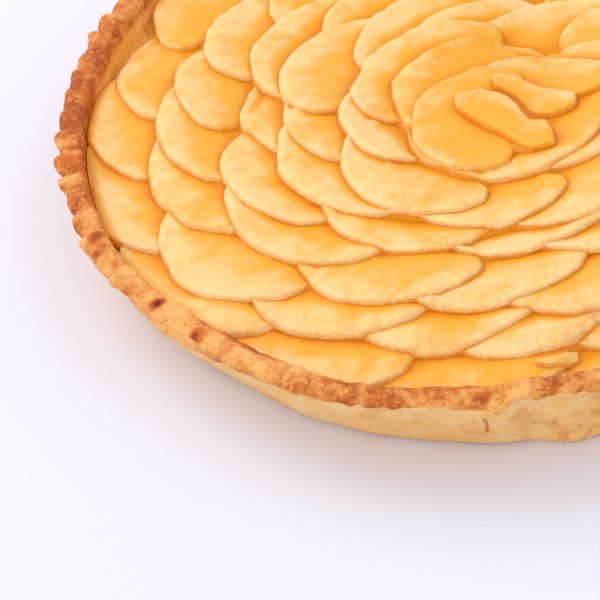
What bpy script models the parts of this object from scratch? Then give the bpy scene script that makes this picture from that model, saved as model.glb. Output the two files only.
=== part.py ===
"""Apple tart: a pinched shortcrust case, and half-round apple slices laid over one another in rings.

Metres, +Z up. The origin is under the middle of the case, on the surface that it stands on.
Directions are in degrees, anticlockwise from +X as seen from above."""

import math
import random

import bmesh
import bpy
import numpy as np

SEED = 24

# The case: an outer wall that leans out, a rounded rim, an inner wall and the bed that the apples lie on.
RIM_RADIUS = 0.1200
FOOT_RADIUS = 0.1072
RIM_HEIGHT = 0.0234
RIM_WIDTH = 0.0072
RIM_ROUNDING = 0.0018
BED_RADIUS = 0.1117
BED_HEIGHT = 0.0150
BED_MIDDLE_HEIGHT = 0.0050
BED_WALL_LEAN = 0.0015
BED_WALL_TOP = 0.80

# Rows of the outer wall from the foot to the rim, as shares: how far the row leans out, how high it is, and
# how much it takes of a fold and of the wall's waves.
WALL_ROWS = ((0.00, 0.000, 0.0, 0.4), (0.30, 0.10, 0.5, 0.8), (0.62, 0.45, 1.0, 1.4), (0.90, 0.80, 0.6, 1.4),
             (1.00, 0.925, 0.0, 0.0))

# The rim is pinched all round, and the wall leans out with a few broad folds. The case isn't quite round,
# either. Each fold, dent and swelling is given as direction, half width in degrees and depth.
PINCHES = 84
PINCH_DEPTH = 0.0008
PINCH_RISE = 0.0005
RIM_WAVE = 0.0006
WALL_WAVE = 0.0007
SWELLINGS = ((150, 14, 0.0014), (188, 9, -0.0010), (215, 13, -0.0030))
FOOT_FOLLOWS = 0.8
BED_FOLLOWS = 0.6
FOLDS = ((232, 2.2, 0.0012), (243, 2.0, -0.0012), (262, 1.8, -0.0014), (279, 3.0, 0.0024),
         (288, 2.4, -0.0012))
KNOB = (257.6, 1.8, 0.0014)

# Apple slices: cut from half discs, so each has an arc, two blunt tips and a cored side that is nearly
# straight. The cored side lies this share of the radius out from the middle of the disc.
SLICE_THICKNESS = 0.0018
CORED_SIDE = 0.33
CORED_BOW = 0.06
TIP_ANGLE = 68
SLICE_COLUMNS = 6
SLICE_ROWS = 2
WALL_CLEARANCE = 0.0006
USUAL_RADIUS = 0.030
RADIUS_SPREAD = 0.0020
REACH_SPREAD = 0.0015
TURN_SPREAD = 2.0

# The rings close round a rose that sits a little in front of the middle and to its right.
ROSE = (0.0060, -0.0095)
FIRST_LAID = 100

# Of each ring: how many slices, how far its middle has moved towards the rose, its usual reach, whether
# each slice is a piece of its own, and the slices that are seen, each as direction, radius and reach.
RINGS = (
    (18, 0.0, 0.1140, True, (
        (155, 0.028, 0.1085), (168, 0.032, 0.1125), (184, 0.034, 0.1150), (207, 0.034, 0.1165),
        (229, 0.034, 0.1175), (251, 0.033, 0.1180), (268, 0.031, 0.1170))),
    (19, 0.5, 0.1000, True, (
        (154, 0.026, 0.0965), (168, 0.031, 0.0975), (184, 0.032, 0.1000), (204, 0.031, 0.1060),
        (224, 0.032, 0.1005), (242, 0.031, 0.0985), (259, 0.029, 0.0980))),
    (16, 1.0, 0.0840, True, (
        (135, 0.030, 0.0875), (158, 0.028, 0.0795), (184, 0.029, 0.0840), (199, 0.033, 0.0870),
        (223, 0.031, 0.0865), (245, 0.031, 0.0825))),
    (12, 1.0, 0.0680, False, (
        (141, 0.029, 0.0740), (162, 0.029, 0.0675), (187, 0.033, 0.0690), (217, 0.029, 0.0685),
        (250, 0.031, 0.0630))),
    (10, 1.0, 0.0530, False, (
        (135, 0.029, 0.0525), (169, 0.025, 0.0510), (208, 0.027, 0.0570), (233, 0.028, 0.0550))),
)

# The heart of the rose, in the order of laying: middle of the disc, direction, radius and cored side.
HEART = (
    (-0.003, -0.0005, 60, 0.0255, 0.3), (0.014, -0.0057, 5, 0.0250, 0.3), (0.012, -0.0162, 318, 0.0260, 0.3),
    (-0.001, -0.0130, 268, 0.0290, 0.3), (-0.005, 0.0, 155, 0.0250, 0.3), (0.008, -0.0053, 72, 0.0206, -0.1),
    (-0.002, -0.0154, 165, 0.0250, -0.1))
HEART_TIP_ANGLE = 74

# Two torn strips of apple that close the rose, and a broken bit near the rim: the points of their two sides.
STRIPS = (
    ("strip_short",
     ((-0.0024, 0.0010), (-0.0006, 0.0019), (0.0037, 0.0002), (0.0076, -0.0037), (0.0116, -0.0076),
      (0.0149, -0.0101), (0.0172, -0.0121)),
     ((-0.0024, -0.0029), (-0.0006, -0.0048), (0.0013, -0.0080), (0.0032, -0.0113), (0.0056, -0.0152),
      (0.0094, -0.0174), (0.0158, -0.0163))),
    ("strip_long",
     ((-0.0135, -0.0047), (-0.0116, -0.0038), (-0.0069, -0.0034), (-0.0020, -0.0065), (0.0017, -0.0142),
      (0.0044, -0.0184), (0.0083, -0.0201)),
     ((-0.0143, -0.0083), (-0.0121, -0.0131), (-0.0095, -0.0176), (-0.0052, -0.0232), (-0.0018, -0.0293),
      (0.0012, -0.0334), (0.0079, -0.0335))),
    ("chip",
     ((-0.0134, -0.1031), (-0.0114, -0.1030), (-0.0095, -0.1029), (-0.0075, -0.1028), (-0.0056, -0.1026),
      (-0.0038, -0.1022), (-0.0020, -0.1018)),
     ((-0.0132, -0.1039), (-0.0121, -0.1051), (-0.0107, -0.1060), (-0.0088, -0.1062), (-0.0068, -0.1060),
      (-0.0047, -0.1056), (-0.0026, -0.1046))),
)
STRIP_COLUMNS = 6
STRIP_ROWS = 2

# How the pieces settle on those below them: the grid of heights, the gap or overlap that is kept, and how
# far a piece sinks and evens out at each step.
CELL = 0.0008
FIELD_HALF = 0.1240
TOUCH_STEPS = 10
CLEARANCE = 0.00038
FUSE_DEPTH = 0.0005
SETTLE_STEPS = 160
LIMPNESS = 0.0004
FUSED_LIMPNESS = 0.0016
STIFFNESS = 0.6
SCRAP_VOLUME = 2e-8

CRUST_COLOUR = (0.72, 0.42, 0.18, 1.0)
CRUST_ROUGHNESS = 0.8
APPLE_COLOUR = (0.95, 0.66, 0.25, 1.0)
APPLE_ROUGHNESS = 0.35
SHARP_EDGE = math.radians(40)


def bump(angle, place):
    """A smooth hump at one direction of the case: place is direction, half width and height."""
    direction, width, height = place
    off = (angle - direction + 180) % 360 - 180
    return height * math.exp(-((off / width) ** 2))


def swelling(angle):
    return sum(bump(angle, place) for place in SWELLINGS)


def wave(angle, phases):
    """A slow uneven wave round the case, about -1 to 1."""
    turn = math.radians(angle)
    return sum(math.sin(k * turn + phase) for k, phase in phases) / math.sqrt(len(phases))


def bed_radius(angle):
    return BED_RADIUS + BED_FOLLOWS * swelling(angle)


def case_rows(angle, pinch, rim_lift, wall_shift):
    """Radius and height of each row of the case's skin in one direction, from the foot to the bed."""
    swell = swelling(angle)
    fold = sum(bump(angle, place) for place in FOLDS)
    knob = bump(angle, KNOB)
    rim = RIM_RADIUS + swell + knob + pinch * PINCH_DEPTH
    top = RIM_HEIGHT + rim_lift + pinch * PINCH_RISE + knob / 2
    foot = FOOT_RADIUS + FOOT_FOLLOWS * swell
    rows = []
    for out, up, fold_share, wave_share in WALL_ROWS:
        rows.append((foot + out * (rim - foot) + fold_share * fold + wave_share * wall_shift, up * top))
    rows.append((rim - RIM_ROUNDING, top))
    rows.append((rim - RIM_WIDTH + RIM_ROUNDING, top))
    rows.append((bed_radius(angle) + BED_WALL_LEAN, BED_WALL_TOP * top))
    rows.append((bed_radius(angle), BED_HEIGHT))
    return rows


def make_case():
    """The case: the rows of every direction, joined round the middle."""
    draw = random.Random(SEED)
    slow = [(k, draw.uniform(0, 2 * math.pi)) for k in (3, 5, 8, 13)]
    quick = [(k, draw.uniform(0, 2 * math.pi)) for k in (7, 11, 17, 23)]
    directions = 2 * PINCHES
    strength = [draw.uniform(0.3, 1.3) for _ in range(PINCHES)]

    mesh = bpy.data.meshes.new("crust")
    bm = bmesh.new()
    rings = []
    for i in range(directions):
        angle = 360 * i / directions
        pinch = strength[i // 2] * (1 if i % 2 else -1)
        rows = case_rows(angle, pinch, RIM_WAVE * wave(angle, slow), WALL_WAVE * wave(angle, quick))
        turn = math.radians(angle)
        rings.append([bm.verts.new((r * math.cos(turn), r * math.sin(turn), z)) for r, z in rows])
    for one, two in zip(rings, rings[1:] + rings[:1]):
        for k in range(len(one) - 1):
            bm.faces.new((one[k], two[k], two[k + 1], one[k + 1]))
    bm.faces.new([ring[0] for ring in reversed(rings)])
    middle = bm.verts.new((0, 0, BED_MIDDLE_HEIGHT))
    for one, two in zip(rings, rings[1:] + rings[:1]):
        bm.faces.new((one[-1], two[-1], middle))
    bmesh.ops.triangulate(bm, faces=bm.faces[:])
    bmesh.ops.recalc_face_normals(bm, faces=bm.faces[:])
    bm.to_mesh(mesh)
    bm.free()
    mesh.shade_smooth()
    mesh.set_sharp_from_angle(angle=SHARP_EDGE)
    return bpy.data.objects.new("crust", mesh)


def sheet_pattern(columns, rows):
    """A flat grid of triangles: where its corners are, from -1 to 1 both ways, and the triangles."""
    bm = bmesh.new()
    bmesh.ops.create_grid(bm, x_segments=columns, y_segments=rows, size=1.0)
    bmesh.ops.triangulate(bm, faces=bm.faces[:])
    bm.verts.ensure_lookup_table()
    places = np.array([v.co[:2] for v in bm.verts])
    triangles = np.array([[v.index for v in face.verts] for face in bm.faces])
    bm.free()
    return places, triangles


def slice_plan(places, middle, direction, radius, cored_side=CORED_SIDE, tip_angle=TIP_ANGLE):
    """A slice seen from above: across it runs from tip to tip, and out from the cored side to the arc."""
    across, out = places[:, 0], (places[:, 1] + 1) / 2
    swing = across * math.radians(tip_angle)
    inner_side = across * math.sin(math.radians(tip_angle)) * 0.93
    inner_reach = cored_side - CORED_BOW * (1 - across ** 2)
    side = radius * (inner_side * (1 - out) + np.sin(swing) * out)
    reach = radius * (inner_reach * (1 - out) + np.cos(swing) * out)
    turn = math.radians(direction)
    x = middle[0] + reach * math.cos(turn) - side * math.sin(turn)
    y = middle[1] + reach * math.sin(turn) + side * math.cos(turn)
    return np.column_stack((x, y))


def strip_plan(places, far_side, near_side):
    """A torn strip seen from above, between two sides that are given point by point."""
    at = (places[:, 0] + 1) / 2 * (len(far_side) - 1)
    number = np.arange(len(far_side))
    share = ((places[:, 1] + 1) / 2)[:, None]
    far, near = (np.column_stack([np.interp(at, number, line) for line in np.array(side).T])
                 for side in (far_side, near_side))
    return near * (1 - share) + far * share


def inside_case(plan):
    """The plan with whatever would cross the wall of the case pressed back inside it."""
    turn = np.degrees(np.arctan2(plan[:, 1], plan[:, 0]))
    most = np.array([bed_radius(angle) for angle in turn]) - WALL_CLEARANCE
    away = np.hypot(plan[:, 0], plan[:, 1])
    return plan * np.minimum(1, most / away)[:, None]


class Pile:
    """Heights of what has been laid so far, on a square grid of cells over the bed."""

    def __init__(self):
        count = round(2 * FIELD_HALF / CELL)
        middles = (np.arange(count) + 0.5) * CELL - FIELD_HALF
        away = np.hypot(*np.meshgrid(middles, middles, indexing="ij")) / BED_RADIUS
        self.top = BED_MIDDLE_HEIGHT + (BED_HEIGHT - BED_MIDDLE_HEIGHT) * away

    def add(self, plan, upper, triangles):
        """Raises the cells under a piece to its upper face."""
        for triangle in triangles:
            a, b, c = plan[triangle]
            low = np.floor((np.minimum(np.minimum(a, b), c) + FIELD_HALF) / CELL).astype(int)
            high = np.ceil((np.maximum(np.maximum(a, b), c) + FIELD_HALF) / CELL).astype(int)
            i, j = np.meshgrid(np.arange(low[0], high[0]), np.arange(low[1], high[1]), indexing="ij")
            x, y = (i + 0.5) * CELL - FIELD_HALF, (j + 0.5) * CELL - FIELD_HALF
            area = (b[0] - a[0]) * (c[1] - a[1]) - (c[0] - a[0]) * (b[1] - a[1])
            share_b = ((x - a[0]) * (c[1] - a[1]) - (c[0] - a[0]) * (y - a[1])) / area
            share_c = ((b[0] - a[0]) * (y - a[1]) - (x - a[0]) * (b[1] - a[1])) / area
            share_a = 1 - share_b - share_c
            inside = (share_a >= 0) & (share_b >= 0) & (share_c >= 0)
            z_a, z_b, z_c = upper[triangle]
            raised = np.where(inside, share_a * z_a + share_b * z_b + share_c * z_c, 0)
            patch = self.top[low[0]:high[0], low[1]:high[1]]
            np.maximum(patch, raised, out=patch)


def touch_points(plan, triangles):
    """Points spread over each triangle of a piece: their cells, corners and shares of each corner."""
    steps = range(TOUCH_STEPS + 1)
    spread = np.array([(i, j, TOUCH_STEPS - i - j) for i in steps for j in steps if i + j <= TOUCH_STEPS])
    shares = np.tile(spread / TOUCH_STEPS, (len(triangles), 1))
    corners = np.repeat(triangles, len(spread), axis=0)
    points = (shares[:, :, None] * plan[corners]).sum(axis=1)
    cells = np.floor((points + FIELD_HALF) / CELL).astype(int)
    return tuple(cells.T), corners, shares


def widened(heights):
    """Each cell raised to the highest of its neighbours."""
    count = heights.shape[0]
    padded = np.pad(heights, 1, mode="edge")
    return np.max([padded[i:i + count, j:j + count] for i in range(3) for j in range(3)], axis=0)


def neighbour_mean(sheet):
    padded = np.pad(sheet, 1, mode="edge")
    return (padded[:-2, 1:-1] + padded[2:, 1:-1] + padded[1:-1, :-2] + padded[1:-1, 2:]) / 4


def settle(blocked, corners, shares, columns, rows, limpness):
    """Height of each corner of a limp sheet that sinks until it rests on what is below it."""
    height = np.full((rows + 1) * (columns + 1), blocked.max())
    weight = shares / (shares ** 2).sum(axis=1)[:, None]
    for _ in range(SETTLE_STEPS):
        sheet = height.reshape(rows + 1, columns + 1)
        sheet = (1 - STIFFNESS) * sheet + STIFFNESS * neighbour_mean(sheet) - limpness
        height = sheet.ravel()
        short = np.clip(blocked - (shares * height[corners]).sum(axis=1), 0, None)
        lift = np.zeros_like(height)
        np.maximum.at(lift, corners.ravel(), (short[:, None] * weight).ravel())
        height = height + lift
    short = np.clip(blocked - (shares * height[corners]).sum(axis=1), 0, None)
    lift = np.zeros_like(height)
    np.maximum.at(lift, corners.ravel(), np.repeat(short, 3))
    return height + lift


def thick_sheet(name, plan, upper, lower, triangles):
    """A thin solid, both faces split into the same triangles."""
    mesh = bpy.data.meshes.new(name)
    bm = bmesh.new()
    verts = [bm.verts.new((x, y, z)) for (x, y), z in zip(plan, upper)]
    for triangle in triangles:
        bm.faces.new([verts[k] for k in triangle])
    bmesh.ops.extrude_face_region(bm, geom=bm.faces[:], use_keep_orig=True)
    for vert, z in zip(verts, lower):
        vert.co.z = z
    bmesh.ops.recalc_face_normals(bm, faces=bm.faces[:])
    bm.to_mesh(mesh)
    bm.free()
    mesh.shade_smooth()
    mesh.set_sharp_from_angle(angle=SHARP_EDGE)
    return bpy.data.objects.new(name, mesh)


def lay(pile, base, name, plan, pattern, columns, rows):
    """Lays one piece on the pile. Where a base is given, the piece sinks a little into what isn't in it,
    and its underside sags further, so that the pieces to be fused meet."""
    triangles = pattern[1]
    plan = inside_case(plan)
    at, corners, shares = touch_points(plan, triangles)
    top = widened(pile.top)[at]
    blocked = top + CLEARANCE
    if base is not None:
        own = top > widened(base)[at] + SLICE_THICKNESS / 2
        blocked = np.where(own, top - FUSE_DEPTH, blocked)
    lower = settle(blocked, corners, shares, columns, rows, LIMPNESS)
    upper = lower + SLICE_THICKNESS
    if base is not None:
        sagging = settle(blocked, corners, shares, columns, rows, FUSED_LIMPNESS)
        lower = np.minimum(lower, sagging)
    pile.add(plan, upper, triangles)
    return thick_sheet(name, plan, upper, lower, triangles)


def ring_slices(ring, draw):
    """Direction, radius and reach of every slice of a ring, in the order of laying."""
    count, _, usual_reach, _, seen = ring
    first, last = seen[0][0], seen[-1][0]
    hidden = count - len(seen)
    step = (360 + first - last) / (hidden + 1)
    slices = list(seen)
    for k in range(1, hidden + 1):
        direction = last + k * step + draw.uniform(-TURN_SPREAD, TURN_SPREAD)
        radius = USUAL_RADIUS + draw.uniform(-RADIUS_SPREAD, RADIUS_SPREAD)
        reach = usual_reach + draw.uniform(-REACH_SPREAD, REACH_SPREAD)
        slices.append((direction % 360, radius, reach))
    return sorted(slices, key=lambda s: (FIRST_LAID - s[0]) % 360)


def shell_of(start):
    """The faces joined to one face by edges that only two faces share."""
    found, waiting = {start}, [start]
    while waiting:
        for edge in waiting.pop().edges:
            if len(edge.link_faces) == 2:
                fresh = [face for face in edge.link_faces if face not in found]
                found.update(fresh)
                waiting.extend(fresh)
    return found


def tidy_union(mesh):
    """Drops the shells of sealed hollows, which fills them, and any loose scrap."""
    bm = bmesh.new()
    bm.from_mesh(mesh)
    left, dropped = set(bm.faces), []
    while left:
        shell = shell_of(next(iter(left)))
        left -= shell
        volume = sum(face.calc_area() * face.normal.dot(face.verts[0].co) for face in shell) / 3
        if volume < SCRAP_VOLUME:
            dropped += shell
    bmesh.ops.delete(bm, geom=dropped, context="FACES")
    bm.to_mesh(mesh)
    bm.free()


def fused(name, pieces, collection, solver="EXACT"):
    """The pieces made one body by a Boolean union."""
    first, rest = pieces[0], pieces[1:]
    group = bpy.data.collections.new(name + "_pieces")
    bpy.context.scene.collection.children.link(group)
    for piece in rest:
        group.objects.link(piece)
    collection.objects.link(first)
    union = first.modifiers.new("union", "BOOLEAN")
    union.operation = "UNION"
    union.operand_type = "COLLECTION"
    union.solver = solver
    union.collection = group
    graph = bpy.context.evaluated_depsgraph_get()
    mesh = bpy.data.meshes.new_from_object(first.evaluated_get(graph))
    mesh.name = name
    for piece in pieces:
        bpy.data.objects.remove(piece)
    bpy.data.collections.remove(group)
    tidy_union(mesh)
    return bpy.data.objects.new(name, mesh)


def material(name, colour, roughness):
    made = bpy.data.materials.new(name)
    made.use_nodes = True
    shader = made.node_tree.nodes["Principled BSDF"]
    shader.inputs["Base Color"].default_value = colour
    shader.inputs["Roughness"].default_value = roughness
    shader.inputs["Metallic"].default_value = 0.0
    return made


def lay_rings(pile, collection, apple):
    """Every ring from the rim inwards, each slice over the next one anticlockwise."""
    draw = random.Random(SEED + 1)
    pattern = sheet_pattern(SLICE_COLUMNS, SLICE_ROWS)
    for number, ring in enumerate(RINGS, start=1):
        _, share, _, separate, _ = ring
        base = None if separate else pile.top.copy()
        pieces = []
        for k, (direction, radius, reach) in enumerate(ring_slices(ring, draw), start=1):
            turn = math.radians(direction)
            out = reach - radius
            middle = (share * ROSE[0] + out * math.cos(turn), share * ROSE[1] + out * math.sin(turn))
            plan = slice_plan(pattern[0], middle, direction, radius)
            name = f"slice_{number}_{k:02d}"
            pieces.append(lay(pile, base, name, plan, pattern, SLICE_COLUMNS, SLICE_ROWS))
        if not separate:
            pieces = [fused(f"ring_{number}", pieces, collection)]
        for piece in pieces:
            collection.objects.link(piece)
            piece.data.materials.append(apple)


def lay_heart(pile, collection, apple):
    pattern = sheet_pattern(SLICE_COLUMNS, SLICE_ROWS)
    base = pile.top.copy()
    pieces = []
    for k, (x, y, direction, radius, cored_side) in enumerate(HEART, start=1):
        plan = slice_plan(pattern[0], (x, y), direction, radius, cored_side, HEART_TIP_ANGLE)
        pieces.append(lay(pile, base, f"heart_{k}", plan, pattern, SLICE_COLUMNS, SLICE_ROWS))
    # The exact solver leaves this union touching itself along an edge.
    heart = fused("heart", pieces, collection, solver="MANIFOLD")
    collection.objects.link(heart)
    heart.data.materials.append(apple)


def lay_strips(pile, collection, apple):
    pattern = sheet_pattern(STRIP_COLUMNS, STRIP_ROWS)
    for name, far_side, near_side in STRIPS:
        plan = strip_plan(pattern[0], far_side, near_side)
        strip = lay(pile, None, name, plan, pattern, STRIP_COLUMNS, STRIP_ROWS)
        collection.objects.link(strip)
        strip.data.materials.append(apple)


def main():
    for obj in list(bpy.data.objects):
        bpy.data.objects.remove(obj)
    tart = bpy.data.collections.new("apple_tart")
    bpy.context.scene.collection.children.link(tart)
    crust = make_case()
    crust.data.materials.append(material("crust", CRUST_COLOUR, CRUST_ROUGHNESS))
    tart.objects.link(crust)
    apple = material("apple", APPLE_COLOUR, APPLE_ROUGHNESS)
    pile = Pile()
    lay_rings(pile, tart, apple)
    lay_heart(pile, tart, apple)
    lay_strips(pile, tart, apple)


main()
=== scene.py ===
"""Apple tart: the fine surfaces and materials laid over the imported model.

Metres, +Z up, directions in degrees anticlockwise from +X as seen from above."""

import math
import random

import bmesh
import bpy
import numpy as np
from mathutils import Matrix, Vector

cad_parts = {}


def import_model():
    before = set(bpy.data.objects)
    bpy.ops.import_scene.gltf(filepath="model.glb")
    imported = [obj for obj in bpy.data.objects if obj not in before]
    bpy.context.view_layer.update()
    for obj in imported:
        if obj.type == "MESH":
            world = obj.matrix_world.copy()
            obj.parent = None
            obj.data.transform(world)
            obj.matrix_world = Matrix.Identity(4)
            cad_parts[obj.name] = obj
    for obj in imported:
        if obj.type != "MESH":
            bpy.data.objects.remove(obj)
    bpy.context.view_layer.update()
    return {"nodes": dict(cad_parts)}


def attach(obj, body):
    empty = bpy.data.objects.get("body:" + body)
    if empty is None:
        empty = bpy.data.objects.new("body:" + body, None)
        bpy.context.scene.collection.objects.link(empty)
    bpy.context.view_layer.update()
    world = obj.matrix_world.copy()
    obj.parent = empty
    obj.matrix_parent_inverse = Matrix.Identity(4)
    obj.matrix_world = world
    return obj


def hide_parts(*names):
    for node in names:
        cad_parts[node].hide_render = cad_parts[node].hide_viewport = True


SEED = 24

# The case, as in the model.
RIM_RADIUS = 0.1200
FOOT_RADIUS = 0.1072
RIM_HEIGHT = 0.0234
RIM_WIDTH = 0.0072
BED_RADIUS = 0.1117
BED_HEIGHT = 0.0150
BED_MIDDLE_HEIGHT = 0.0050
BED_WALL_LEAN = 0.0015
BED_WALL_TOP = 0.80
# Rows up the wall: share of the way out and up, and how far each follows the folds and the wave.
WALL_ROWS = ((0.00, 0.000, 0.0, 0.4), (0.30, 0.10, 0.5, 0.8), (0.62, 0.45, 1.0, 1.4), (0.90, 0.80, 0.6, 1.4),
             (1.00, 0.925, 0.0, 0.0))
PINCHES = 84
PINCH_DEPTH = 0.0008
RIM_WAVE = 0.0006
WALL_WAVE = 0.0007
# Places round the case: direction, half width and how far out.
SWELLINGS = ((150, 14, 0.0014), (188, 9, -0.0010), (215, 13, -0.0030))
FOOT_FOLLOWS = 0.8
BED_FOLLOWS = 0.6
FOLDS = ((232, 2.2, 0.0012), (243, 2.0, -0.0012), (262, 1.8, -0.0014), (279, 3.0, 0.0024),
         (288, 2.4, -0.0012))

# The slices, as in the model.
SLICE_THICKNESS = 0.0018
CORED_SIDE = 0.33
CORED_BOW = 0.06
TIP_ANGLE = 68
CORED_SPAN = 0.93
SHEET_COLUMNS = 6
SHEET_ROWS = 2
WALL_CLEARANCE = 0.0006
USUAL_RADIUS = 0.030
RADIUS_SPREAD = 0.0020
REACH_SPREAD = 0.0015
TURN_SPREAD = 2.0
ROSE = (0.0060, -0.0095)
FIRST_LAID = 100
# Each ring: how many slices, how far it follows the rose, its reach, whether its slices are separate, and the
# slices that are seen, each as direction, radius and reach.
RINGS = (
    (18, 0.0, 0.1140, True, (
        (155, 0.028, 0.1085), (168, 0.032, 0.1125), (184, 0.034, 0.1150), (207, 0.034, 0.1165),
        (229, 0.034, 0.1175), (251, 0.033, 0.1180), (268, 0.031, 0.1170))),
    (19, 0.5, 0.1000, True, (
        (154, 0.026, 0.0965), (168, 0.031, 0.0975), (184, 0.032, 0.1000), (204, 0.031, 0.1060),
        (224, 0.032, 0.1005), (242, 0.031, 0.0985), (259, 0.029, 0.0980))),
    (16, 1.0, 0.0840, True, (
        (135, 0.030, 0.0875), (158, 0.028, 0.0795), (184, 0.029, 0.0840), (199, 0.033, 0.0870),
        (223, 0.031, 0.0865), (245, 0.031, 0.0825))),
    (12, 1.0, 0.0680, False, (
        (141, 0.029, 0.0740), (162, 0.029, 0.0675), (187, 0.033, 0.0690), (217, 0.029, 0.0685),
        (250, 0.031, 0.0630))),
    (10, 1.0, 0.0530, False, (
        (135, 0.029, 0.0525), (169, 0.025, 0.0510), (208, 0.027, 0.0570), (233, 0.028, 0.0550))),
)
# Each slice of the rose: middle of the disc, direction, radius and cored side.
HEART = (
    (-0.003, -0.0005, 60, 0.0255, 0.3), (0.014, -0.0057, 5, 0.0250, 0.3), (0.012, -0.0162, 318, 0.0260, 0.3),
    (-0.001, -0.0130, 268, 0.0290, 0.3), (-0.005, 0.0, 155, 0.0250, 0.3), (0.008, -0.0053, 72, 0.0206, -0.1),
    (-0.002, -0.0154, 165, 0.0250, -0.1))
HEART_TIP_ANGLE = 74
# Each strip: its name, its far side and its near side, in tenths of a millimetre.
STRIPS = (
    ("strip_short",
     ((-24, 10), (-6, 19), (37, 2), (76, -37), (116, -76), (149, -101), (172, -121)),
    ((-24, -29), (-6, -48), (13, -80), (32, -113), (56, -152), (94, -174), (158, -163))),
    ("strip_long",
     ((-135, -47), (-116, -38), (-69, -34), (-20, -65), (17, -142), (44, -184), (83, -201)),
    ((-143, -83), (-121, -131), (-95, -176), (-52, -232), (-18, -293), (12, -334), (79, -335))),
    ("chip",
     ((-134, -1031), (-114, -1030), (-95, -1029), (-75, -1028), (-56, -1026), (-38, -1022), (-20, -1018)),
    ((-132, -1039), (-121, -1051), (-107, -1060), (-88, -1062), (-68, -1060), (-47, -1056), (-26, -1046))),
)
FUSED_PIECES = ("ring_4", "ring_5", "heart")
CELL = 0.0008
FIELD_HALF = 0.1240
TOUCH_STEPS = 10
CLEARANCE = 0.00038
FUSE_DEPTH = 0.0005
SETTLE_STEPS = 160
LIMPNESS = 0.0004
STIFFNESS = 0.6

# The fine slices: their grids, and how each is laid as a thin sheet whose edges droop onto what is below.
FINE_CELL = 0.0004
SLICE_GRID = (112, 28)
STRIP_GRID = (80, 28)
UNDER_STEP = 4
TRIAL_GRID = (56, 16)
TRIALS = 2
ARC_CROWDING = 1.25
SPLAT_STEPS = 3
FINE_CORED_SIDE = 0.08
HEART_CORED_SIDE = -0.35
EDGE_TAPER = 0.0020
EDGE_ROUNDING = 0.0003
EDGE_SLOPE = 0.0004
TIP_ROUNDING = 0.35
STRIP_ROUNDING = 0.12
SLICE_BENDS = ((0, 0), (1, 0), (2, 0), (3, 0), (4, 0), (0, 1), (1, 1), (2, 1), (0, 2), (1, 2), (2, 2))
STRIP_BENDS = ((0, 0), (1, 0), (2, 0), (0, 1), (1, 1))
# Each kind of sheet: its thickness, its edge's, how far in it droops, and the powers that bend it.
SHEETS = {"slice": (0.0014, 0.0010, 0.0065, SLICE_BENDS), "strip": (0.0019, 0.0015, 0.0022, STRIP_BENDS),
          "chip": (0.0009, 0.0009, 0.0022, STRIP_BENDS)}
SHEET_FIRMNESS = 0.002
SHEET_HARDNESS = 40.0
SHEET_STEPS = 14
DROOP_SHARE = 0.75
# How far the front slices inside ring 1 are drawn in: direction, half width and how far.
FRONT_DRAWN_IN = (245, 35, 0.0013)
# How far slices on the left are turned back from where the model has them: direction, half width and degrees.
TURNED_BACK = {"ring_1": (168, 28, 2.6), "ring_2": (185, 28, 2.0)}
HOVER = 0.0003
HOVER_PITCH = 0.012
PRESS = 0.0003
SKIRT = 0.0006
LIFT_SPREAD = 0.0060
LIFT_MARGIN = 0.0016
LEAST_INSIDE = 0.05
BELOW_SPREAD = 1.5
WALL_RISE = 0.0022
WALL_RISE_REACH = 0.0080
RIM_STRETCH = 0.0020
WALL_LEAP = 0.0011
# The outline's waves, ripples and nicks: how far out, pitch, and how near the edge each starts.
OUTLINE = ((0.0009, 0.010, 0.0), (0.00022, 0.0032, 0.7), (0.00020, 0.0013, 0.9))
SWELL_RELIEF = 0.00022
SWELL_PITCH = 0.008
ARC_SPAN = 0.02
RING_TONES = (0.0, 0.55)
ROSE_TONES = (0.75, 1.0)
FRONT_TONE = (250, 32, 0.45)
CHIP_GOLD = 0.003
GRAIN_LEAN = 0.5
GRAIN_LENGTH = 0.0357
GRAIN_DEPTH = 0.020
GRAIN_STEP = 0.37
# Toasted spots on the slices: across, along and size. They show only near a slice's arc.
TOASTED = ((-0.0015, -0.0965, 0.0050), (0.0030, -0.0945, 0.0040), (-0.0390, -0.0820, 0.0030),
           (0.0610, -0.0560, 0.0040), (0.0250, 0.0880, 0.0040), (-0.0500, 0.0700, 0.0035),
           (0.0900, 0.0300, 0.0040))
TOAST_ARC = (0.30, 0.05)

# The fine case.
CASE_DIRECTIONS = 1512
WALL_STEPS = 15
RIM_STEPS = 34
LIP_ROW = 2.4
OUTER_ROUNDING = 0.00126
OUTER_TOP = 0.995
INNER_ROUNDING = 0.0009
PINCH_RISE = 0.00015
PINCH_STRENGTH = (0.3, 1.3)
PINCH_WANDER = ((0.22, 9.0, SEED + 90),)
SLOW_WAVES = (3, 5, 8, 13)
QUICK_WAVES = (7, 11, 17, 23)
# Where along the profile the outside ends and where the inner wall starts, as shares of its rows.
OUTSIDE_END = 0.62
INNER_WALL = (0.80, 0.86)
# Relief of the skin, in layers of height, pitch and seed.
LUMPS = ((0.00028, 0.0055, 5), (0.00026, 0.0026, 6))
GRAINS = ((0.00016, 0.0012, 7), (0.00008, 0.0007, 11))
GRAINS_LOST = 0.7
WALL_GRAINS = ((0.00007, 0.0016, 9),)
BORDER_RAGGED = ((0.04, 5.0, 31), (0.04, 1.1, 32))
BURNT_RAGGED = ((1.0, 0.0030, 41), (0.6, 0.0013, 42))
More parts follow.
